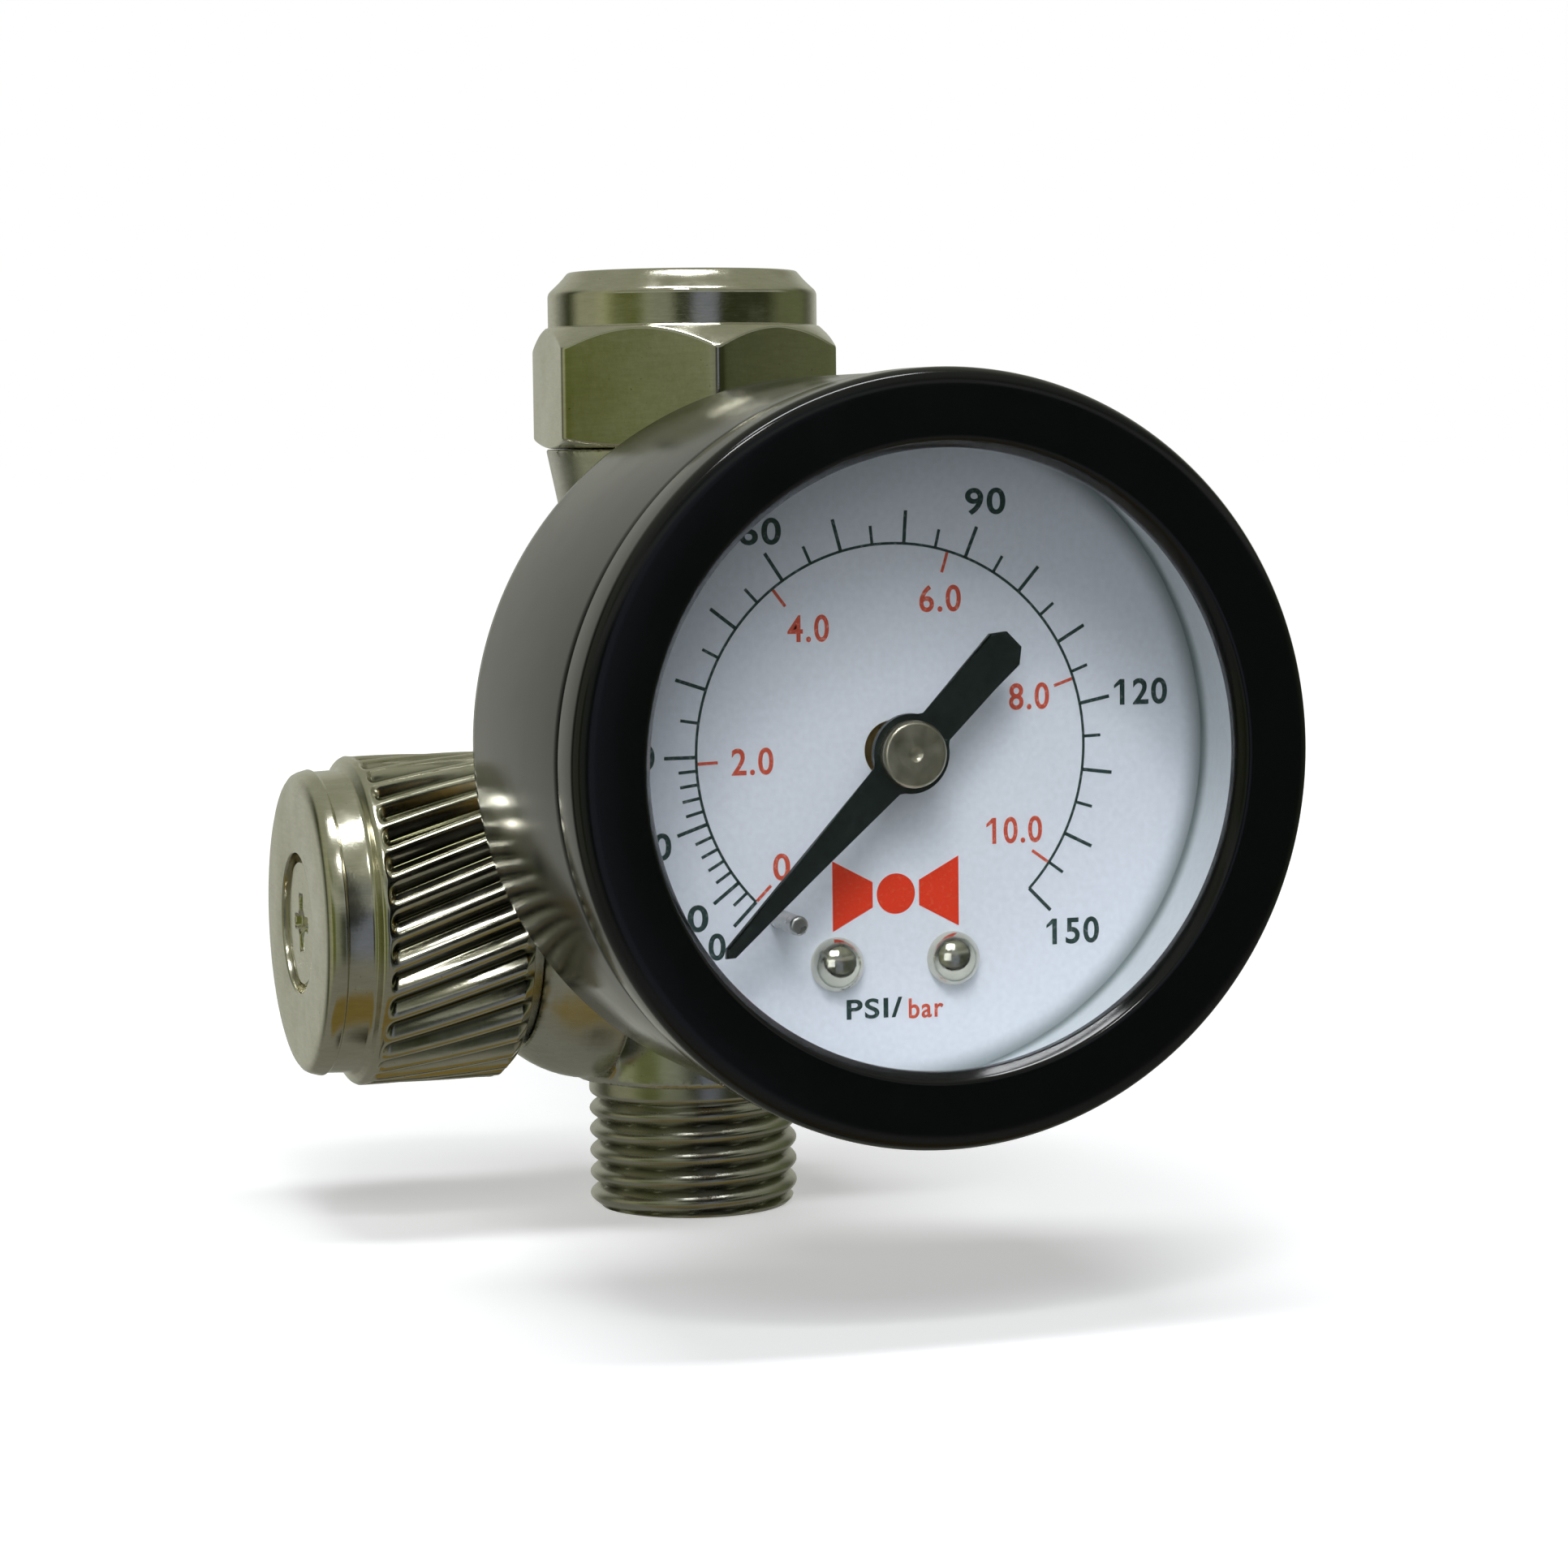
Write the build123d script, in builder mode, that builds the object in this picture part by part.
"""Small in-line air pressure regulator with a dial gauge, in millimetres.

Z is the port axis, with the inlet thread below and the swivel outlet nut above.
The gauge faces -Y and the adjusting knob points along -X.
The origin is the centre of the shoulder above the inlet thread.
"""

import os
from math import cos, radians, sin, sqrt

from build123d import *

os.makedirs("parts", exist_ok=True)

# ---------------------------------------------------------------- driving dimensions
gauge_z = 24.0  # height of the gauge axis
barrel_z = 11.2  # height of the knob and valve axis

# Pipe thread, 1/4-18 straight.
thread_pitch = 25.4 / 18
thread_depth = 0.84
crest_flat = 0.25
male_r = 6.8
female_r = 6.1
inlet_length = 8.5

# Port column and swivel outlet.
column_r = 7.2
column_neck_r = 7.0
column_cone_z = 31.5
column_top_r = 8.7
column_top_z = 40.6
inlet_bore_r = 4.0
outlet_bore_r = 3.2
nut_bottom_z = 41.0
hex_top_z = 48.75
nut_top_z = 52.3
hex_across_flats = 18.0
hex_turn = 25.0
collar_r = 8.7
swivel_r = 5.2
running_gap = 0.07
sliding_gap = 0.15
cut_past = 1.0  # how far a cutter runs past the face it opens

# Adjusting knob and the parts on its axis.
flange_r = 11.0
flange_left_x = -12.3
flange_right_x = -6.6
bonnet_r = 7.9
cylinder_r = 6.2
knob_r = 10.5
knob_cap_r = 9.6
knob_face_x = -26.2
knob_shoulder_x = -22.3
knob_back_x = -13.1
flute_count = 36
flute_angle = 16.0
spindle_r = 2.5

# Gauge.
case_r = 21.2
case_back_y = -24.3
case_front_y = -44.4
case_wall = 0.8
bezel_r = 21.36
bezel_front_y = -48.0
window_r = 17.0
dial_y = -38.05
dial_r = 19.8
pointer_y = -40.7
zero_angle = 225.0

# Axes of the three families of round parts.
port_axis = Axis.Z
valve_axis = Axis((0, 0, barrel_z), (1, 0, 0))
gauge_axis = Axis((0, 0, gauge_z), (0, 1, 0))


# ---------------------------------------------------------------- helpers
def valve_plane(x):
    """Plane across the valve axis at x, facing +X, with its own x along +Y."""
    return Plane(origin=(x, 0, barrel_z), x_dir=(0, 1, 0), z_dir=(1, 0, 0))


def gauge_plane(y):
    """Plane across the gauge axis at y, facing -Y, with its own x along +X and y along +Z."""
    return Plane(origin=(0, y, gauge_z), x_dir=(1, 0, 0), z_dir=(0, -1, 0))


def about_valve(x, r):
    """Profile point at x along the valve axis and r from it."""
    return (x, barrel_z + r)


def on_circle(r, angle):
    """Point at radius r and angle in degrees, counted from the plane's own x."""
    return (r * cos(radians(angle)), r * sin(radians(angle)))


def thread_teeth(first_z, last_z, crest_r, outward):
    """Profile points of thread ridges between two heights, with crests at crest_r."""
    root_r = crest_r - thread_depth if outward else crest_r + thread_depth
    flank = (thread_pitch - 2 * crest_flat) / 2
    points = [(crest_r, first_z)]
    z = first_z + crest_flat
    while z + thread_pitch < last_z:
        points += [(crest_r, z), (root_r, z + flank)]
        points += [(root_r, z + flank + crest_flat), (crest_r, z + 2 * flank + crest_flat)]
        z += thread_pitch
    return points + [(crest_r, last_z)]


def finish(part, name):
    """Label a finished part and write it."""
    part.label = name
    export_step(part, f"parts/{name}.step")


# ---------------------------------------------------------------- valve body
flange_face_r = 8.9
flange_bevel = 0.4
arm_r = 6.7
boss_r = 6.5
boss_bevel = 0.6
boss_front_y = -13.2
socket_thread_r = 4.9
socket_hole_y = -6.4
chamber_floor_x = -7.6
outlet_chamber_r = 2.6
seat_left_x = 1.2
seat_right_x = 3.2
poppet_bore_r = 4.5
barrel_right_x = 11.5
plug_seal_r = 5.9
plug_seal_depth = 0.8
nipple_spigot_r = 5.4
nipple_spigot_z = 4.5
riser_r = 2.0
riser_x = -0.9
riser_top_z = 17.2
tail_bottom_z = 34.0
tail_seal_height = 1.0
feed_r = 1.3
feed_x = 2.6
feed_length = 5.0
inlet_well_r = 3.0
inlet_well_z = 6.0
sensing_r = 1.6

with BuildPart() as valve_body:
    with BuildSketch(Plane.XZ):
        Polygon(
            (0, 0), (column_r, 0), (column_neck_r, column_cone_z), (column_top_r, column_top_z),
            (0, column_top_z),
            align=None,
        )
    revolve(axis=port_axis)
    # Flange that carries the bonnet, with a large round on its outer edge.
    with BuildSketch(Plane.XZ):
        with BuildLine():
            crown = about_valve(flange_right_x - flange_bevel, flange_r)
            edge = about_valve(flange_left_x, flange_face_r)
            TangentArc(crown, edge, tangent=(-1, 0))
            Polyline(
                edge, about_valve(flange_left_x, 0), about_valve(flange_right_x, 0),
                about_valve(flange_right_x, flange_r - flange_bevel), crown,
            )
        make_face()
    revolve(axis=valve_axis)
    # Arm for the poppet on the other side.
    with BuildSketch(valve_plane(0)):
        Circle(arm_r)
    extrude(amount=barrel_right_x)
    # Boss for the gauge.
    with BuildSketch(gauge_plane(0)):
        Circle(boss_r)
    extrude(amount=-boss_front_y)
    chamfer(valve_body.faces().sort_by(Axis.Y)[0].edges(), boss_bevel)
    # Inlet: spigot hole, well and slanted feed to the poppet chamber.
    with BuildSketch(Plane.XY):
        Circle(nipple_spigot_r)
    extrude(amount=nipple_spigot_z, mode=Mode.SUBTRACT)
    with BuildSketch(Plane.XY.offset(nipple_spigot_z)):
        Circle(inlet_well_r)
    extrude(amount=inlet_well_z - nipple_spigot_z, mode=Mode.SUBTRACT)
    with BuildSketch(Plane(origin=(feed_x, 0, nipple_spigot_z), x_dir=(0, 1, 0), z_dir=(1, 0, 1))):
        Circle(feed_r)
    extrude(amount=feed_length, mode=Mode.SUBTRACT)
    # Bores along the valve axis.
    with BuildSketch(Plane.XZ):
        Polygon(
            about_valve(flange_left_x - cut_past, 0), about_valve(flange_left_x - cut_past, bonnet_r),
            about_valve(chamber_floor_x, bonnet_r), about_valve(chamber_floor_x, outlet_chamber_r),
            about_valve(seat_left_x, outlet_chamber_r), about_valve(seat_left_x, poppet_bore_r),
            about_valve(barrel_right_x - plug_seal_depth, poppet_bore_r),
            about_valve(barrel_right_x - plug_seal_depth, plug_seal_r),
            about_valve(barrel_right_x + cut_past, plug_seal_r),
            about_valve(barrel_right_x + cut_past, 0),
            align=None,
        )
    revolve(axis=valve_axis, mode=Mode.SUBTRACT)
    # Outlet: riser from the seat, main bore and socket for the swivel tail.
    with BuildSketch(Plane.XY.offset(barrel_z)):
        with Locations((riser_x, 0)):
            Circle(riser_r)
    extrude(amount=riser_top_z - barrel_z, mode=Mode.SUBTRACT)
    with BuildSketch(Plane.XY.offset(riser_top_z)):
        Circle(outlet_bore_r)
    extrude(amount=tail_bottom_z - riser_top_z, mode=Mode.SUBTRACT)
    with BuildSketch(Plane.XY.offset(tail_bottom_z - tail_seal_height)):
        Circle(swivel_r)
    extrude(amount=column_top_z, mode=Mode.SUBTRACT)
    # Gauge port and its small passage.
    with BuildSketch(gauge_plane(socket_hole_y)):
        Circle(socket_thread_r)
    extrude(amount=socket_hole_y - boss_front_y + cut_past, mode=Mode.SUBTRACT)
    with BuildSketch(gauge_plane(0)):
        Circle(sensing_r)
    extrude(amount=cut_past - socket_hole_y, mode=Mode.SUBTRACT)
finish(valve_body.part, "valve_body")

# ---------------------------------------------------------------- inlet nipple
with BuildPart() as inlet_nipple:
    with BuildSketch(Plane.XZ):
        Polygon(
            (inlet_bore_r, -inlet_length), (male_r - thread_depth, -inlet_length),
            *thread_teeth(thread_depth - inlet_length, 0, male_r, outward=True),
            (nipple_spigot_r, 0), (nipple_spigot_r, nipple_spigot_z), (inlet_bore_r, nipple_spigot_z),
            align=None,
        )
    revolve(axis=port_axis)
finish(inlet_nipple.part, "inlet_nipple")

# ---------------------------------------------------------------- swivel tail and its O-ring
flange_top_z = 42.6
nut_clearance = 0.15
head_r = 5.95
head_bottom_z = flange_top_z + nut_clearance
head_top_z = 43.9
nose_r = 4.0
nose_top_z = 45.3
tail_seal_r = 4.4

with BuildPart() as swivel_tail:
    with BuildSketch(Plane.XZ):
        Polygon(
            (outlet_bore_r, tail_bottom_z), (swivel_r, tail_bottom_z), (swivel_r, head_bottom_z),
            (head_r, head_bottom_z), (head_r, head_top_z), (nose_r, nose_top_z),
            (outlet_bore_r, nose_top_z),
            align=None,
        )
    revolve(axis=port_axis)
finish(swivel_tail.part, "swivel_tail")

with BuildPart() as tail_o_ring:
    with BuildSketch(Plane.XZ):
        with Locations((tail_seal_r, tail_bottom_z - tail_seal_height / 2)):
            Circle(tail_seal_height / 2)
    revolve(axis=port_axis)
finish(tail_o_ring.part, "tail_o_ring")

# ---------------------------------------------------------------- swivel nut
hex_corner_r = hex_across_flats / sqrt(3)
hex_flat_r = hex_across_flats / 2
corner_drop = 1.5
crown_inset = 0.15
foot_inset = 0.3
bottom_bevel = 0.6
collar_bevel = 1.25
collar_bevel_in = 1.05
nut_relief_r = 7.0
nut_thread_z = 45.4
nut_mouth_z = 51.2
nut_mouth_r = 7.15

with BuildPart() as swivel_nut:
    with BuildSketch(Plane.XY.offset(nut_bottom_z)):
        RegularPolygon(hex_flat_r, 6, major_radius=False, rotation=hex_turn)
    extrude(amount=hex_top_z - nut_bottom_z)
    # Turned bevels trim the corners above and below.
    with BuildSketch(Plane.XZ):
        Polygon(
            (0, nut_bottom_z), (hex_flat_r - foot_inset, nut_bottom_z),
            (hex_corner_r, nut_bottom_z + bottom_bevel), (hex_corner_r, hex_top_z - corner_drop),
            (hex_flat_r - crown_inset, hex_top_z), (0, hex_top_z),
            align=None,
        )
    revolve(axis=port_axis, mode=Mode.INTERSECT)
    with BuildSketch(Plane.XZ):
        Polygon(
            (0, nut_thread_z), (collar_r, nut_thread_z), (collar_r, nut_top_z - collar_bevel),
            (collar_r - collar_bevel_in, nut_top_z), (0, nut_top_z),
            align=None,
        )
    revolve(axis=port_axis)
    # Swivel hole, relief, thread and mouth.
    with BuildSketch(Plane.XZ):
        Polygon(
            (0, nut_bottom_z - cut_past), (swivel_r + running_gap, nut_bottom_z - cut_past),
            (swivel_r + running_gap, flange_top_z), (nut_relief_r, flange_top_z),
            (nut_relief_r, nut_thread_z),
            *thread_teeth(nut_thread_z, nut_mouth_z, female_r, outward=False),
            (nut_mouth_r, nut_top_z), (nut_mouth_r, nut_top_z + cut_past), (0, nut_top_z + cut_past),
            align=None,
        )
    revolve(axis=port_axis, mode=Mode.SUBTRACT)
finish(swivel_nut.part, "swivel_nut")

# ---------------------------------------------------------------- bonnet
bonnet_left_x = -21.6
bonnet_wall_x = -20.4
bonnet_right_x = chamber_floor_x
bonnet_bevel = 0.6
ring_groove_x = -9.6
ring_groove_width = 1.0
ring_groove_depth = 0.9
key_width = 1.2
key_height = 0.8
key_right_x = -13.2

with BuildPart() as bonnet:
    with BuildSketch(Plane.XZ):
        Polygon(
            about_valve(bonnet_left_x, spindle_r + running_gap),
            about_valve(bonnet_left_x, bonnet_r - bonnet_bevel),
            about_valve(bonnet_left_x + bonnet_bevel, bonnet_r), about_valve(ring_groove_x, bonnet_r),
            about_valve(ring_groove_x, bonnet_r - ring_groove_depth),
            about_valve(ring_groove_x + ring_groove_width, bonnet_r - ring_groove_depth),
            about_valve(ring_groove_x + ring_groove_width, bonnet_r),
            about_valve(bonnet_right_x, bonnet_r), about_valve(bonnet_right_x, cylinder_r),
            about_valve(bonnet_wall_x, cylinder_r), about_valve(bonnet_wall_x, spindle_r + running_gap),
            align=None,
        )
    revolve(axis=valve_axis)
    # Key that stops the spring seat from turning.
    with BuildSketch(valve_plane(bonnet_wall_x)):
        with Locations((0, cylinder_r)):
            Rectangle(key_width, 2 * key_height)
    extrude(amount=key_right_x - bonnet_wall_x)
finish(bonnet.part, "bonnet")

with BuildPart() as bonnet_o_ring:
    with BuildSketch(Plane.XZ):
        ring_x = ring_groove_x + ring_groove_width / 2
        with Locations(about_valve(ring_x, bonnet_r - ring_groove_depth / 2)):
            Circle(ring_groove_depth / 2)
    revolve(axis=valve_axis)
finish(bonnet_o_ring.part, "bonnet_o_ring")

# ---------------------------------------------------------------- knob, its screw and the spindle
knob_edge_round = 0.9
knob_edge_step = 0.3 * knob_edge_round
shoulder_width = 0.5
knob_back_bevel = 0.9
knob_bore_r = 8.7
knob_wall_x = -22.9
knob_hub_r = 3.6
knob_hub_x = -21.8
screw_recess_r = 4.45
screw_recess_depth = 0.9
drive_flats = 3.6
drive_hole_x = -24.4
screw_shank_r = 1.5
screw_head_r = 4.1
screw_head_height = 0.6
flute_tool_r = 0.62
flute_circle_r = knob_r + 0.12
flute_run = 14.0

with BuildPart() as knob:
    with BuildSketch(Plane.XZ):
        Polygon(
            about_valve(knob_face_x, 0), about_valve(knob_face_x, knob_cap_r - knob_edge_round),
            about_valve(knob_face_x + knob_edge_step, knob_cap_r - knob_edge_step),
            about_valve(knob_face_x + knob_edge_round, knob_cap_r),
            about_valve(knob_shoulder_x - shoulder_width, knob_cap_r), about_valve(knob_shoulder_x, knob_r),
            about_valve(knob_back_x - knob_back_bevel, knob_r),
            about_valve(knob_back_x, knob_r - knob_back_bevel), about_valve(knob_back_x, knob_bore_r),
            about_valve(knob_wall_x, knob_bore_r), about_valve(knob_wall_x, knob_hub_r),
            about_valve(knob_hub_x, knob_hub_r), about_valve(knob_hub_x, 0),
            align=None,
        )
    revolve(axis=valve_axis)
    with BuildSketch(valve_plane(knob_face_x)):
        Circle(screw_recess_r)
    extrude(amount=screw_recess_depth, mode=Mode.SUBTRACT)
    with BuildSketch(valve_plane(knob_face_x)):
        Circle(screw_shank_r)
    extrude(amount=knob_hub_x - knob_face_x, mode=Mode.SUBTRACT)
    with BuildSketch(valve_plane(drive_hole_x)):
        Rectangle(drive_flats, drive_flats)
    extrude(amount=knob_hub_x - drive_hole_x, mode=Mode.SUBTRACT)
    # Slanted flutes, open at the back edge.
    flute_middle_x = knob_shoulder_x + shoulder_width + flute_run / 2 * cos(radians(flute_angle))
    with Locations(valve_plane(flute_middle_x)):
        with PolarLocations(flute_circle_r, flute_count):
            Cylinder(flute_tool_r, flute_run, rotation=(flute_angle, 0, 0), mode=Mode.SUBTRACT)
finish(knob.part, "knob")

screw_seat_x = knob_face_x + screw_recess_depth
screw_length = 5.0
cross_width = 0.9
cross_length = 3.6
cross_depth = 0.4

with BuildPart() as knob_screw:
    with BuildSketch(valve_plane(screw_seat_x)):
        Circle(screw_head_r)
    extrude(amount=-screw_head_height)
    with BuildSketch(valve_plane(screw_seat_x)):
        Circle(screw_shank_r)
    extrude(amount=screw_length)
    with BuildSketch(valve_plane(screw_seat_x - screw_head_height)):
        Rectangle(cross_width, cross_length)
        Rectangle(cross_length, cross_width)
    extrude(amount=cross_depth, mode=Mode.SUBTRACT)
finish(knob_screw.part, "knob_screw")

collar_left_x = -20.3
collar_right_x = -19.6
thrust_r = 3.9
spindle_end_x = -12.5

with BuildPart() as adjusting_spindle:
    with BuildSketch(valve_plane(drive_hole_x)):
        Rectangle(drive_flats, drive_flats)
    extrude(amount=knob_hub_x - drive_hole_x)
    with BuildSketch(valve_plane(knob_hub_x)):
        Circle(spindle_r)
    extrude(amount=spindle_end_x - knob_hub_x)
    with BuildSketch(valve_plane(collar_left_x)):
        Circle(thrust_r)
    extrude(amount=collar_right_x - collar_left_x)
    with BuildSketch(valve_plane(drive_hole_x)):
        Circle(screw_shank_r)
    extrude(amount=screw_length + screw_seat_x - drive_hole_x, mode=Mode.SUBTRACT)
finish(adjusting_spindle.part, "adjusting_spindle")

# ---------------------------------------------------------------- spring seat, spring and piston
seat_rest_x = -19.3
seat_thickness = 1.5
seat_spring_x = seat_rest_x + seat_thickness
key_gap = 0.2
piston_left_x = -11.2
piston_right_x = -8.5
piston_gap = 0.05
piston_r = cylinder_r - piston_gap
piston_groove_width = 1.1
piston_groove_depth = 1.1
piston_recess_r = 3.2
piston_recess_depth = 0.6
pin_r = 1.0
pin_end_x = 0.5

with BuildPart() as spring_seat:
    with BuildSketch(valve_plane(seat_rest_x)):
        Circle(cylinder_r - sliding_gap)
        Circle(spindle_r + running_gap, mode=Mode.SUBTRACT)
        with Locations((0, cylinder_r)):
            Rectangle(key_width + 2 * key_gap, 2 * (key_height + key_gap), mode=Mode.SUBTRACT)
    extrude(amount=seat_thickness)
finish(spring_seat.part, "spring_seat")


def coil(start_x, end_x, coil_r, wire_r, turns):
    """Helical wire about the valve axis between two faces, inset by the wire's radius."""
    height = end_x - start_x - 2 * wire_r
    foot = (start_x + wire_r, 0, barrel_z)
    with BuildLine() as path:
        Helix(height / turns, height, coil_r, center=foot, direction=(1, 0, 0))
    with BuildSketch(Plane(origin=path.line @ 0, z_dir=path.line % 0)) as wire:
        Circle(wire_r)
    return sweep(wire.sketch, path=path.line, is_frenet=True, mode=Mode.PRIVATE)


with BuildPart() as range_spring:
    add(coil(seat_spring_x, piston_left_x, coil_r=4.5, wire_r=0.45, turns=3))
finish(range_spring.part, "range_spring")

groove_x = (piston_left_x + piston_right_x) / 2 - piston_groove_width / 2
with BuildPart() as piston:
    with BuildSketch(Plane.XZ):
        Polygon(
            about_valve(piston_left_x, 0), about_valve(piston_left_x, piston_r),
            about_valve(groove_x, piston_r), about_valve(groove_x, piston_r - piston_groove_depth),
            about_valve(groove_x + piston_groove_width, piston_r - piston_groove_depth),
            about_valve(groove_x + piston_groove_width, piston_r),
            about_valve(piston_right_x, piston_r), about_valve(piston_right_x, pin_r),
            about_valve(pin_end_x, pin_r), about_valve(pin_end_x, 0),
            align=None,
        )
    revolve(axis=valve_axis)
    with BuildSketch(valve_plane(piston_left_x)):
        Circle(piston_recess_r)
    extrude(amount=piston_recess_depth, mode=Mode.SUBTRACT)
finish(piston.part, "piston")

with BuildPart() as piston_o_ring:
    with BuildSketch(Plane.XZ):
        with Locations(about_valve(groove_x + piston_groove_width / 2, piston_r - piston_groove_depth / 2)):
            Circle(piston_groove_depth / 2)
    revolve(axis=valve_axis)
finish(piston_o_ring.part, "piston_o_ring")

# ---------------------------------------------------------------- seat insert, poppet and end plug
seat_hole_r = 1.8
poppet_r = 3.0
seal_gap = 0.05
lift_gap = 0.1
poppet_left_x = seat_right_x + seal_gap
poppet_right_x = 5.0
poppet_stem_r = 0.8
poppet_guide_r = 1.2
plug_left_x = 8.6
plug_head_x = 13.2
plug_head_flats = 11.0
guide_depth = 2.4
guide_reach = 0.8
plug_bevel = 0.4

with BuildPart() as valve_seat:
    with BuildSketch(valve_plane(seat_left_x)):
        Circle(poppet_bore_r)
        Circle(seat_hole_r, mode=Mode.SUBTRACT)
    extrude(amount=seat_right_x - seat_left_x)
finish(valve_seat.part, "valve_seat")

with BuildPart() as poppet:
    with BuildSketch(Plane.XZ):
        Polygon(
            about_valve(pin_end_x + lift_gap, 0), about_valve(pin_end_x + lift_gap, poppet_stem_r),
            about_valve(poppet_left_x, poppet_stem_r), about_valve(poppet_left_x, poppet_r),
            about_valve(poppet_right_x, poppet_r), about_valve(poppet_right_x, poppet_guide_r),
            about_valve(plug_left_x + guide_reach, poppet_guide_r),
            about_valve(plug_left_x + guide_reach, 0),
            align=None,
        )
    revolve(axis=valve_axis)
finish(poppet.part, "poppet")

with BuildPart() as poppet_spring:
    add(coil(poppet_right_x, plug_left_x, coil_r=2.1, wire_r=0.25, turns=4))
finish(poppet_spring.part, "poppet_spring")

with BuildPart() as end_plug:
    with BuildSketch(valve_plane(plug_left_x)):
        Circle(poppet_bore_r)
    extrude(amount=barrel_right_x - plug_left_x)
    with BuildSketch(valve_plane(barrel_right_x)):
        RegularPolygon(plug_head_flats / 2, 6, major_radius=False, rotation=30)
    extrude(amount=plug_head_x - barrel_right_x)
    chamfer(end_plug.faces().sort_by(Axis.X)[-1].edges(), plug_bevel)
    with BuildSketch(valve_plane(plug_left_x)):
        Circle(poppet_guide_r + running_gap)
    extrude(amount=guide_depth, mode=Mode.SUBTRACT)
finish(end_plug.part, "end_plug")

with BuildPart() as end_plug_o_ring:
    with BuildSketch(Plane.XZ):
        seal_x = barrel_right_x - plug_seal_depth / 2
        with Locations(about_valve(seal_x, (poppet_bore_r + plug_seal_r) / 2)):
            Circle(plug_seal_depth / 2)
    revolve(axis=valve_axis)
finish(end_plug_o_ring.part, "end_plug_o_ring")

# ---------------------------------------------------------------- gauge socket and case
stem_bore_r = 1.0
stem_hex_front_y = -22.8
stem_hex_back_y = -17.6
stem_hex_flats = 14.0
case_hole_r = 5.6
block_front_y = -31.5
block_r = 6.4
arm_back_y = -26.0
arm_width = 10.0
arm_bottom = -16.6
seal_r = 6.3
seal_thickness = 0.8
socket_end_gap = 0.4
socket_end_y = socket_hole_y - socket_end_gap
hex_bevel = 0.4
tube_foot_arc = 20.0
screw_hole_depth = 2.0
ear_r = 2.2
case_inner_y = case_back_y - case_wall
inner_r = case_r - case_wall
movement_screw_at = [(-3.0, 3.0), (-3.0, -3.0)]
case_screw_at = [(-8.5, 0), (8.5, 0)]
ear_thickness = 1.0
tube_r = 14.5
tube_y = -28.7
tube_height = 5.0
tube_width = 1.6
tube_start = -104.0
tube_sweep = 232.0


def tube_section(angle):
    """Plane across the tube at an angle about the gauge axis: local x radial, local y along +Y."""
    across, up = on_circle(1, angle)
    return Plane(origin=(0, 0, gauge_z), x_dir=(across, 0, up), z_dir=(-up, 0, across))


small_screw_r = 0.8

with BuildPart() as gauge_socket:
    # Stem that screws into the valve body, wrench hexagon and neck through the case.
    with BuildSketch(gauge_plane(socket_end_y)):
        Circle(socket_thread_r)
    extrude(amount=socket_end_y - stem_hex_front_y)
    with BuildSketch(gauge_plane(stem_hex_back_y)):
        RegularPolygon(stem_hex_flats / 2, 6, major_radius=False, rotation=30)
    extrude(amount=stem_hex_back_y - stem_hex_front_y)
    chamfer(gauge_socket.edges().filter_by(Plane.XZ).group_by(Axis.Y)[-2], hex_bevel)
    with BuildSketch(gauge_plane(stem_hex_front_y)):
        Circle(case_hole_r)
    extrude(amount=stem_hex_front_y - case_inner_y)
    # Block inside the case, with an arm down to the foot of the tube.
    with BuildSketch(gauge_plane(case_inner_y)):
        Circle(block_r)
    extrude(amount=case_inner_y - block_front_y)
    with BuildSketch(gauge_plane(arm_back_y)):
        with Locations((0, arm_bottom / 2)):
            Rectangle(arm_width, -arm_bottom)
    extrude(amount=arm_back_y - block_front_y)
    # Slot that holds the foot of the tube, and ears for the case screws.
    with BuildSketch(tube_section(tube_start)):
        with Locations((tube_r, tube_y)):
            SlotOverall(tube_height, tube_width, rotation=90)
    revolve(axis=gauge_axis, revolution_arc=tube_foot_arc, mode=Mode.SUBTRACT)
    with BuildSketch(gauge_plane(case_inner_y)):
        SlotCenterToCenter(2 * case_screw_at[1][0], 2 * ear_r)
        with Locations(*case_screw_at):
            Circle(small_screw_r, mode=Mode.SUBTRACT)
    extrude(amount=ear_thickness)
    with BuildSketch(gauge_plane(socket_hole_y)):
        Circle(stem_bore_r)
    extrude(amount=socket_hole_y - tube_y + stem_bore_r, mode=Mode.SUBTRACT)
    with BuildSketch(gauge_plane(block_front_y + screw_hole_depth)):
        with Locations(*movement_screw_at):
            Circle(small_screw_r)
    extrude(amount=screw_hole_depth, mode=Mode.SUBTRACT)
finish(gauge_socket.part, "gauge_socket")

with BuildPart() as socket_seal:
    with BuildSketch(gauge_plane(boss_front_y)):
        Circle(seal_r)
        Circle(socket_thread_r, mode=Mode.SUBTRACT)
    extrude(amount=seal_thickness)
finish(socket_seal.part, "socket_seal")

back_round = 2.0
spigot_r = 20.5
spigot_inner_r = 19.9
spigot_front_y = -45.3
ledge_y = dial_y + 0.5
ledge_r = 19.3
ledge_depth = 1.0
vent_at = (0, 14.0)
vent_r = 2.6
corner_bevel = 1.2

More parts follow.
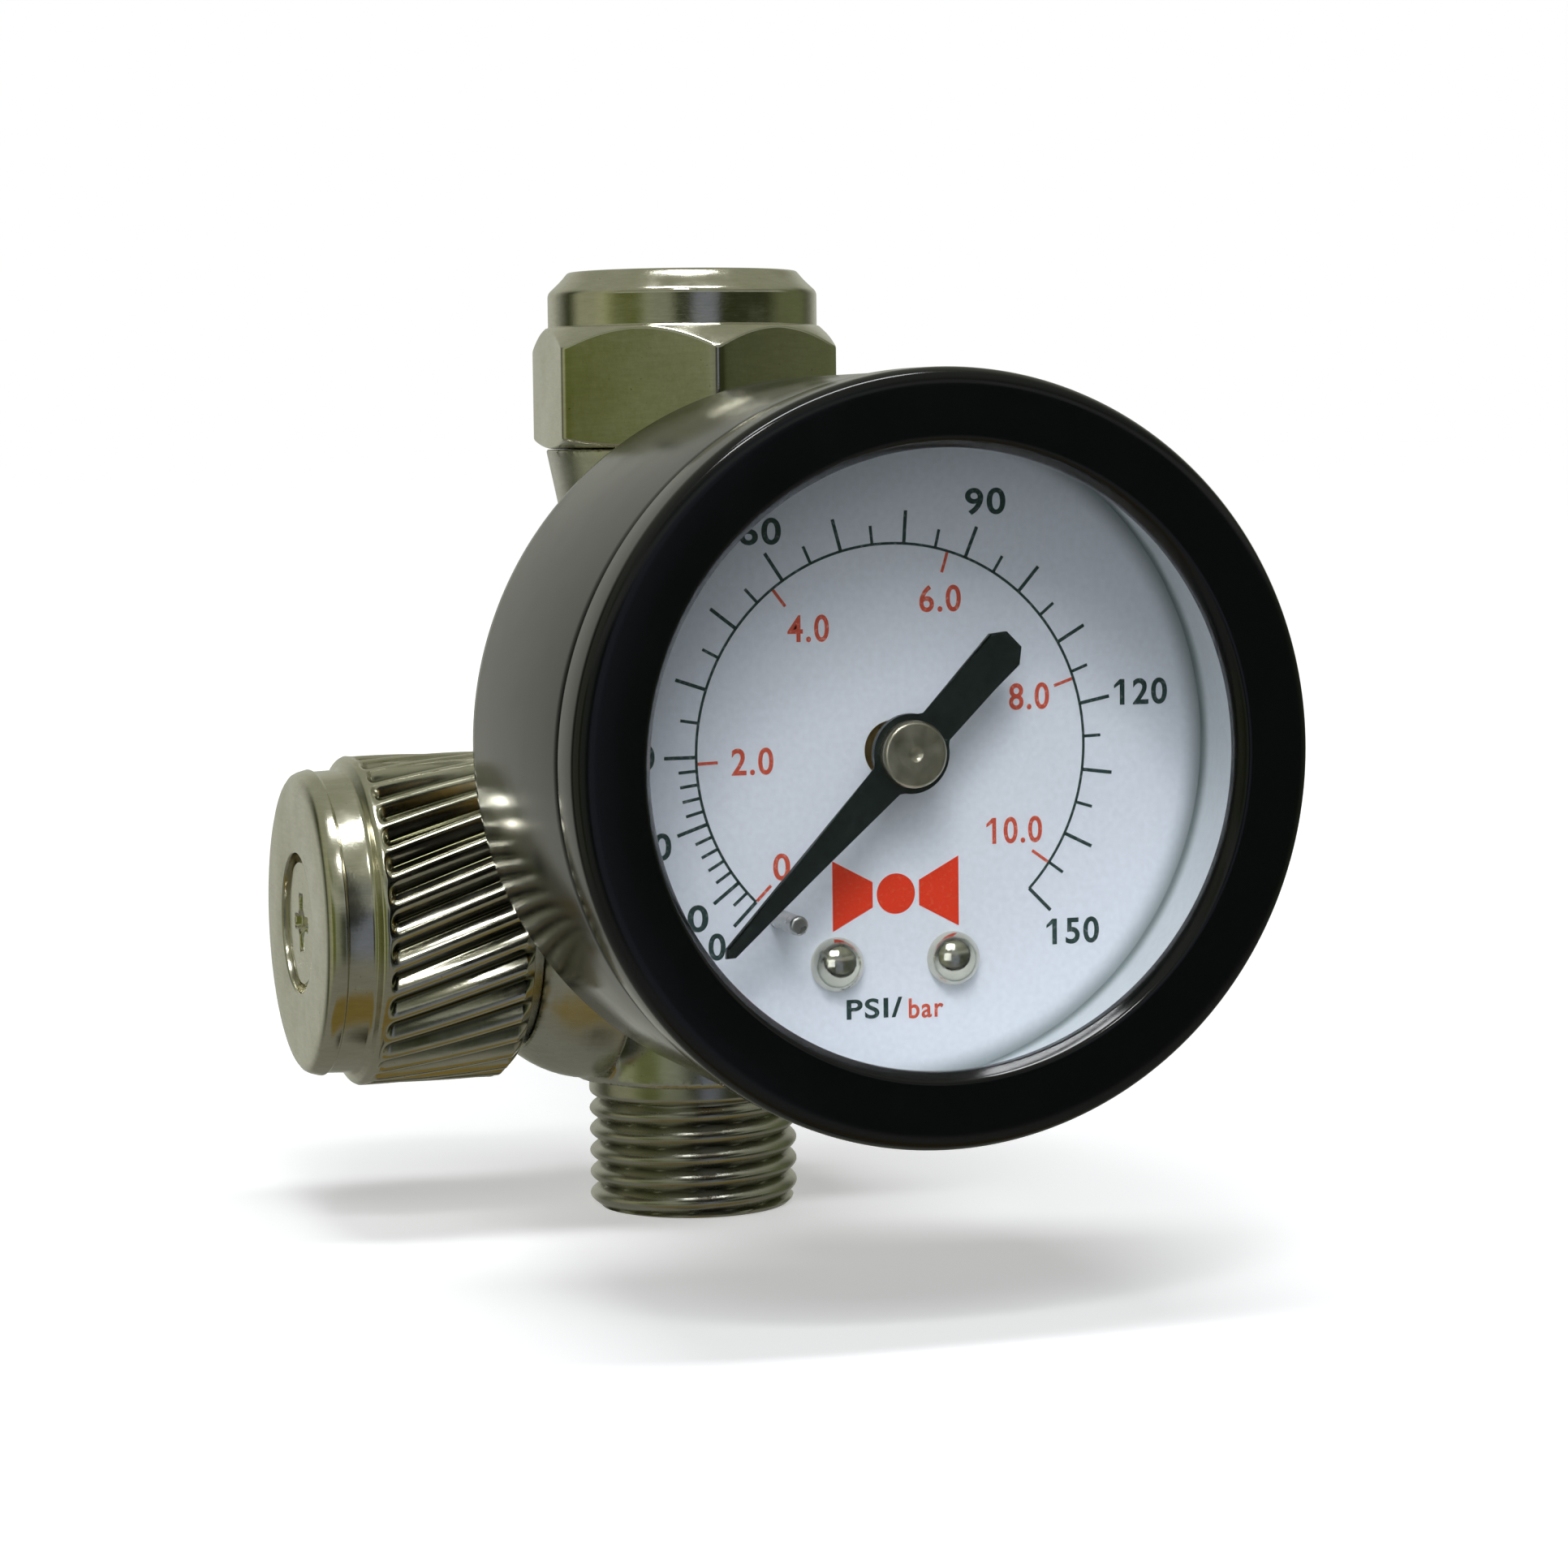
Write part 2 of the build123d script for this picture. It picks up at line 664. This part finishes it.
with BuildPart() as gauge_case:
    with BuildSketch(gauge_plane(case_back_y)):
        Circle(case_r)
    extrude(amount=case_back_y - case_front_y)
    fillet(gauge_case.edges().sort_by(Axis.Y)[-1], back_round)
    with BuildSketch(gauge_plane(case_front_y)):
        Circle(spigot_r)
    extrude(amount=case_front_y - spigot_front_y)
    with BuildSketch(Plane.XY.offset(gauge_z)):
        Polygon(
            (0, case_inner_y), (inner_r - corner_bevel, case_inner_y),
            (inner_r, case_inner_y - corner_bevel), (inner_r, ledge_y + ledge_depth),
            (ledge_r, ledge_y + ledge_depth), (ledge_r, ledge_y), (spigot_inner_r, ledge_y),
            (spigot_inner_r, spigot_front_y - cut_past), (0, spigot_front_y - cut_past),
            align=None,
        )
    revolve(axis=gauge_axis, mode=Mode.SUBTRACT)
    with BuildSketch(gauge_plane(case_back_y)):
        Circle(case_hole_r)
        with Locations(*case_screw_at):
            Circle(small_screw_r)
        with Locations(vent_at):
            Circle(vent_r)
    extrude(amount=2 * case_wall, both=True, mode=Mode.SUBTRACT)
finish(gauge_case.part, "gauge_case")

case_screw_r = 1.7
case_screw_head = 0.9
case_slot_width = 0.5
case_slot_depth = 0.4

with BuildPart() as case_screws:
    with BuildSketch(gauge_plane(case_back_y)):
        with Locations(*case_screw_at):
            Circle(small_screw_r)
    extrude(amount=case_wall + ear_thickness)
    with BuildSketch(gauge_plane(case_back_y)):
        with Locations(*case_screw_at):
            Circle(case_screw_r)
    extrude(amount=-case_screw_head)
    with BuildSketch(gauge_plane(case_back_y + case_screw_head)):
        with Locations(*case_screw_at):
            Rectangle(case_slot_width, 2 * case_screw_r + case_slot_width)
    extrude(amount=case_slot_depth, mode=Mode.SUBTRACT)
finish(case_screws.part, "case_screws")

vent_barb = 0.6
vent_rim = 0.8
vent_cap = 0.7
vent_round = 0.5

with BuildPart() as vent_plug:
    with BuildSketch(gauge_plane(case_inner_y - vent_barb)):
        with Locations(vent_at):
            Circle(vent_r + vent_barb)
    extrude(amount=-vent_barb)
    with BuildSketch(gauge_plane(case_inner_y)):
        with Locations(vent_at):
            Circle(vent_r)
    extrude(amount=-case_wall)
    with BuildSketch(gauge_plane(case_back_y)):
        with Locations(vent_at):
            Circle(vent_r + vent_rim)
    extrude(amount=-vent_cap)
    fillet(vent_plug.edges().sort_by(Axis.Y)[-1], vent_round)
finish(vent_plug.part, "vent_plug")

# ---------------------------------------------------------------- bezel, lens and dial
lip_back_y = -46.8
lens_back_y = -45.8
bezel_round = 0.9
bezel_round_step = 0.3 * bezel_round
window_bevel = 0.7
window_bevel_in = 0.35
glass_gap = 0.1
arbor_hole_r = 1.7
spacer_r = 19.8
spacer_dial_r = 19.0
spacer_front_r = 18.6
dial_thickness = 0.5
post_at = [(-3.5, -12.0), (3.5, -12.0)]
post_r = 1.3
dial_screw_r = 1.35
dial_screw_length = 3.5
dome_height = 1.0
dome_round = 0.85
stop_at = on_circle(11.55, 233.2)
stop_r = 0.55
stop_end_y = -41.7
stop_round = 0.2

with BuildPart() as gauge_bezel:
    with BuildSketch(Plane.XY.offset(gauge_z)):
        Polygon(
            (window_r, bezel_front_y + window_bevel), (window_r + window_bevel_in, bezel_front_y),
            (bezel_r - bezel_round, bezel_front_y),
            (bezel_r - bezel_round_step, bezel_front_y + bezel_round_step),
            (bezel_r, bezel_front_y + bezel_round), (bezel_r, case_front_y),
            (spigot_r, case_front_y), (spigot_r, lip_back_y), (window_r, lip_back_y),
            align=None,
        )
    revolve(axis=gauge_axis)
finish(gauge_bezel.part, "gauge_bezel")

with BuildPart() as gauge_lens:
    with BuildSketch(gauge_plane(lens_back_y)):
        Circle(spigot_r - glass_gap)
    extrude(amount=lens_back_y - lip_back_y)
finish(gauge_lens.part, "gauge_lens")

with BuildPart() as lens_gasket:
    with BuildSketch(gauge_plane(spigot_front_y)):
        Circle(spigot_r - glass_gap)
        Circle(spacer_front_r, mode=Mode.SUBTRACT)
    extrude(amount=spigot_front_y - lens_back_y)
finish(lens_gasket.part, "lens_gasket")

with BuildPart() as spacer_ring:
    with BuildSketch(Plane.XY.offset(gauge_z)):
        Polygon(
            (spacer_dial_r, dial_y), (spacer_r, dial_y), (spacer_r, spigot_front_y),
            (spacer_front_r, spigot_front_y),
            align=None,
        )
    revolve(axis=gauge_axis)
finish(spacer_ring.part, "spacer_ring")

with BuildPart() as dial_plate:
    with BuildSketch(gauge_plane(dial_y + dial_thickness)):
        Circle(dial_r)
        Circle(arbor_hole_r, mode=Mode.SUBTRACT)
        with Locations(*post_at):
            Circle(small_screw_r, mode=Mode.SUBTRACT)
        with Locations(stop_at):
            Circle(stop_r, mode=Mode.SUBTRACT)
    extrude(amount=dial_thickness)
finish(dial_plate.part, "dial_plate")

with BuildPart() as dial_posts:
    with BuildSketch(gauge_plane(block_front_y)):
        with Locations(*post_at):
            Circle(post_r)
    extrude(amount=block_front_y - dial_y - dial_thickness)
    with BuildSketch(gauge_plane(dial_y + dial_thickness)):
        with Locations(*post_at):
            Circle(small_screw_r)
    extrude(amount=-dial_screw_length, mode=Mode.SUBTRACT)
finish(dial_posts.part, "dial_posts")

with BuildPart() as dial_screws:
    with BuildSketch(gauge_plane(dial_y)):
        with Locations(*post_at):
            Circle(small_screw_r)
    extrude(amount=-dial_screw_length)
    with BuildSketch(gauge_plane(dial_y)):
        with Locations(*post_at):
            Circle(dial_screw_r)
    extrude(amount=dome_height)
    fillet(dial_screws.edges().group_by(Axis.Y)[0], dome_round)
finish(dial_screws.part, "dial_screws")

with BuildPart() as stop_pin:
    with BuildSketch(gauge_plane(dial_y + dial_thickness)):
        with Locations(stop_at):
            Circle(stop_r)
    extrude(amount=dial_y + dial_thickness - stop_end_y)
    fillet(stop_pin.edges().sort_by(Axis.Y)[0], stop_round)
finish(stop_pin.part, "stop_pin")

# ---------------------------------------------------------------- pointer and hub
pointer_thickness = 0.4
tip_reach = 15.5
tip_width = 0.9
tip_clip = 0.4
blade_width = 2.1
tail_reach = 8.8
tail_root_width = 1.8
tail_width = 2.5
tail_clip = 0.8
boss_disc_r = 2.25
arbor_r = 0.5
hub_r = 1.9
hub_core_r = 0.9
hub_front_y = -41.8
hub_bevel = 0.15
arbor_front_y = hub_front_y + 2 * hub_bevel
boss_under_r = 1.5
boss_under_y = -38.9
dimple_r = 0.3

with BuildPart() as pointer:
    with BuildSketch(gauge_plane(pointer_y)) as pointer_outline:
        Polygon(
            (0, blade_width / 2), (tip_reach - tip_clip, tip_width / 2), (tip_reach, 0),
            (tip_reach - tip_clip, -tip_width / 2), (0, -blade_width / 2),
            align=None,
        )
        Polygon(
            (0, tail_root_width / 2), (-tail_reach + tail_clip, tail_width / 2),
            (-tail_reach, tail_width / 4), (-tail_reach, -tail_width / 4),
            (-tail_reach + tail_clip, -tail_width / 2), (0, -tail_root_width / 2),
            align=None,
        )
        Circle(boss_disc_r)
    extrude(amount=pointer_thickness)
    with BuildSketch(gauge_plane(pointer_y)):
        Circle(hub_core_r)
    extrude(amount=pointer_thickness, mode=Mode.SUBTRACT)
pointer_at_zero = pointer.part.rotate(gauge_axis, -zero_angle)
finish(pointer_at_zero, "pointer")

with BuildPart() as pointer_hub:
    with BuildSketch(gauge_plane(pointer_y - pointer_thickness)):
        Circle(hub_r)
    extrude(amount=pointer_y - pointer_thickness - hub_front_y)
    chamfer(pointer_hub.edges().sort_by(Axis.Y)[0], hub_bevel)
    with BuildSketch(gauge_plane(pointer_y)):
        Circle(hub_core_r)
    extrude(amount=pointer_thickness)
    with BuildSketch(gauge_plane(boss_under_y)):
        Circle(boss_under_r)
    extrude(amount=boss_under_y - pointer_y)
    with BuildSketch(gauge_plane(arbor_front_y)):
        Circle(arbor_r)
    extrude(amount=arbor_front_y - boss_under_y, mode=Mode.SUBTRACT)
    with BuildSketch(gauge_plane(hub_front_y)):
        Circle(dimple_r)
    extrude(amount=-hub_bevel, mode=Mode.SUBTRACT)
finish(pointer_hub.part, "pointer_hub")

# ---------------------------------------------------------------- movement
back_plate_y = -31.5
plate_thickness = 0.8
front_plate_y = -36.2
plate_left = -6.2
plate_right = 15.0
plate_height = 9.6
plate_corner_r = 2.0
bearing_gap = 0.05
column_at = [(-4.6, 0), (13.0, 3.5), (13.0, -3.5)]
column_pin_r = 0.9
gear_module = 0.3
pinion_teeth = 10
sector_teeth = 70
sector_slice = 6
sector_at = (gear_module * (pinion_teeth + sector_teeth) / 2, 0)
gear_y = -33.4
gear_thickness = 0.8
root_share = 1.1
foot_share = 1.15
tip_share = 0.85
pointer_travel = 270.0
sector_swing = pointer_travel * pinion_teeth / sector_teeth / 2
tail_arm = 4.2
pivot_r = 0.6


def movement_plate(y):
    """One plate of the movement with its bearing holes, front face towards -Y."""
    with BuildPart() as plate:
        with BuildSketch(gauge_plane(y)):
            with Locations(((plate_left + plate_right) / 2, 0)):
                RectangleRounded(plate_right - plate_left, plate_height, plate_corner_r)
            Circle(arbor_r + bearing_gap, mode=Mode.SUBTRACT)
            with Locations(sector_at):
                Circle(pivot_r + bearing_gap, mode=Mode.SUBTRACT)
            with Locations(*column_at):
                Circle(column_pin_r / 2, mode=Mode.SUBTRACT)
        extrude(amount=plate_thickness)
    return plate.part


with BuildPart() as movement_back_plate:
    add(movement_plate(back_plate_y))
    with BuildSketch(gauge_plane(back_plate_y)):
        with Locations(*movement_screw_at):
            Circle(small_screw_r)
    extrude(amount=plate_thickness, mode=Mode.SUBTRACT)
finish(movement_back_plate.part, "movement_back_plate")

with BuildPart() as movement_front_plate:
    add(movement_plate(front_plate_y))
finish(movement_front_plate.part, "movement_front_plate")

with BuildPart() as movement_columns:
    with BuildSketch(gauge_plane(back_plate_y)):
        with Locations(*column_at):
            Circle(column_pin_r / 2)
    extrude(amount=back_plate_y - front_plate_y + plate_thickness)
    with BuildSketch(gauge_plane(back_plate_y - plate_thickness)):
        with Locations(*column_at):
            Circle(column_pin_r)
    extrude(amount=back_plate_y - plate_thickness - front_plate_y)
finish(movement_columns.part, "movement_columns")

movement_head_r = 1.3
movement_head_height = 0.6
driver_slot = 0.35
shank_length = 0.95 * screw_hole_depth

with BuildPart() as movement_screws:
    with BuildSketch(gauge_plane(back_plate_y + shank_length)):
        with Locations(*movement_screw_at):
            Circle(small_screw_r)
    extrude(amount=shank_length + plate_thickness)
    with BuildSketch(gauge_plane(back_plate_y - plate_thickness)):
        with Locations(*movement_screw_at):
            Circle(movement_head_r)
            Rectangle(2 * movement_head_r + driver_slot, driver_slot, mode=Mode.SUBTRACT)
    extrude(amount=movement_head_height)
finish(movement_screws.part, "movement_screws")


def tooth_outline(pitch_r, tooth_angle, centre_angle):
    """Corner points of one slim gear tooth, counter-clockwise.

    Each side is a radius and the tooth's half width there, as a share of the tooth angle.
    """
    sides = [
        (pitch_r - foot_share * gear_module, 0.26),
        (pitch_r, 0.19),
        (pitch_r + tip_share * gear_module, 0.09),
    ]
    right = [on_circle(r, centre_angle - half * tooth_angle) for r, half in sides]
    left = [on_circle(r, centre_angle + half * tooth_angle) for r, half in reversed(sides)]
    return right + left


pinion_r = gear_module * pinion_teeth / 2
pinion_overlap = 0.4
end_play = 0.1

with BuildPart() as pinion_arbor:
    with BuildSketch(gauge_plane(gear_y + pinion_overlap)):
        Circle(pinion_r - root_share * gear_module)
        for tooth in range(pinion_teeth):
            angle = 360 / pinion_teeth * (tooth + 0.5) + pointer_travel / 2
            Polygon(*tooth_outline(pinion_r, 360 / pinion_teeth, angle), align=None)
    extrude(amount=gear_thickness + 2 * pinion_overlap)
    with BuildSketch(gauge_plane(back_plate_y - end_play)):
        Circle(arbor_r)
    extrude(amount=back_plate_y - end_play - arbor_front_y)
finish(pinion_arbor.part, "pinion_arbor")

sector_r = gear_module * sector_teeth / 2
sector_axis = Axis((sector_at[0], 0, gauge_z), (0, 1, 0))


def sector_plane(y):
    """Gauge plane at y, centred on the sector's pivot."""
    return Plane(origin=(sector_at[0], y, gauge_z), x_dir=(1, 0, 0), z_dir=(0, -1, 0))


tail_hole_r = 0.62
tail_half_width = 1.0
sector_hub_r = 1.9
throat = 1.4
half_slice = 360 / sector_teeth * (sector_slice + 0.4)
rim_r = sector_r - root_share * gear_module

with BuildPart() as sector_gear:
    with BuildSketch(sector_plane(gear_y)):
        with BuildLine():
            CenterArc((0, 0), rim_r, 180 - half_slice, 2 * half_slice)
            Polyline(
                on_circle(rim_r, 180 + half_slice), (-throat, -throat), (-throat, throat),
                on_circle(rim_r, 180 - half_slice),
            )
        make_face()
        Circle(sector_hub_r)
        with Locations((tail_arm / 2, 0)):
            Rectangle(tail_arm, 2 * tail_half_width)
        with Locations((tail_arm, 0)):
            Circle(tail_half_width)
            Circle(tail_hole_r, mode=Mode.SUBTRACT)
        for tooth in range(-sector_slice, sector_slice + 1):
            angle = 180 + 360 / sector_teeth * tooth
            Polygon(*tooth_outline(sector_r, 360 / sector_teeth, angle), align=None)
    extrude(amount=gear_thickness)
    with BuildSketch(sector_plane(back_plate_y - end_play)):
        Circle(pivot_r)
    extrude(amount=back_plate_y - front_plate_y + plate_thickness - 2 * end_play)
finish(sector_gear.part.rotate(sector_axis, sector_swing), "sector_gear")

# ---------------------------------------------------------------- bourdon tube, tip and link
tip_gap = 1.5
tip_arc = 6.5
tip_inner_r = 13.4
tip_outer_r = 17.4
link_x = sector_at[0] + tail_arm * (1 + cos(radians(sector_swing))) / 2
link_low_z = -tail_arm * sin(radians(sector_swing))
link_high_z = 5.2
link_y = -32.7
link_thickness = 0.5
link_width = 1.9
link_pin_r = 0.4
tip_pin_r = 0.45
tube_wall = 0.3
pin_past = 0.1

with BuildPart() as bourdon_tube:
    with BuildSketch(tube_section(tube_start)):
        with Locations((tube_r, tube_y)):
            SlotOverall(tube_height, tube_width, rotation=90)
            SlotOverall(
                tube_height - 2 * tube_wall, tube_width - 2 * tube_wall, rotation=90, mode=Mode.SUBTRACT
            )
    revolve(axis=gauge_axis, revolution_arc=tube_sweep)
finish(bourdon_tube.part, "bourdon_tube")

with BuildPart() as bourdon_tip:
    with BuildSketch(tube_section(tube_start - tube_sweep - tip_gap)):
        with Locations(((tip_inner_r + tip_outer_r) / 2, tube_y)):
            Rectangle(tip_outer_r - tip_inner_r, tube_height + tube_wall)
    revolve(axis=gauge_axis, revolution_arc=tip_arc)
    with BuildSketch(gauge_plane(tube_y)):
        with Locations((link_x, link_high_z)):
            Circle(tip_pin_r)
    extrude(amount=tube_y - link_y + link_thickness + pin_past)
finish(bourdon_tip.part, "bourdon_tip")

with BuildPart() as link:
    with BuildSketch(gauge_plane(link_y)):
        with Locations((link_x, (link_low_z + link_high_z) / 2)):
            SlotCenterToCenter(link_high_z - link_low_z, link_width, rotation=90)
        with Locations((link_x, link_high_z)):
            Circle(tip_pin_r, mode=Mode.SUBTRACT)
    extrude(amount=link_thickness)
    with BuildSketch(gauge_plane(link_y)):
        with Locations((link_x, link_low_z)):
            Circle(link_pin_r)
    extrude(amount=link_y - gear_y + gear_thickness + 2 * pin_past)
finish(link.part, "link")

# ---------------------------------------------------------------- hairspring
hair_inner_r = 0.85
hair_outer_r = 3.6
hair_turns = 4
hair_points = 12
hair_y = -35.2
hair_width = 0.4
hair_thickness = 0.12

with BuildPart() as hairspring:
    with BuildSketch(gauge_plane(hair_y)):
        count = hair_turns * hair_points
        step = (hair_outer_r - hair_inner_r) / count
        turn = 360 / hair_points
        with BuildLine() as spiral:
            Spline(*[on_circle(hair_inner_r + step * i, 180 + turn * i) for i in range(count + 1)])
        trace(spiral.line, line_width=hair_thickness)
    extrude(amount=hair_width)
finish(hairspring.part, "hairspring")
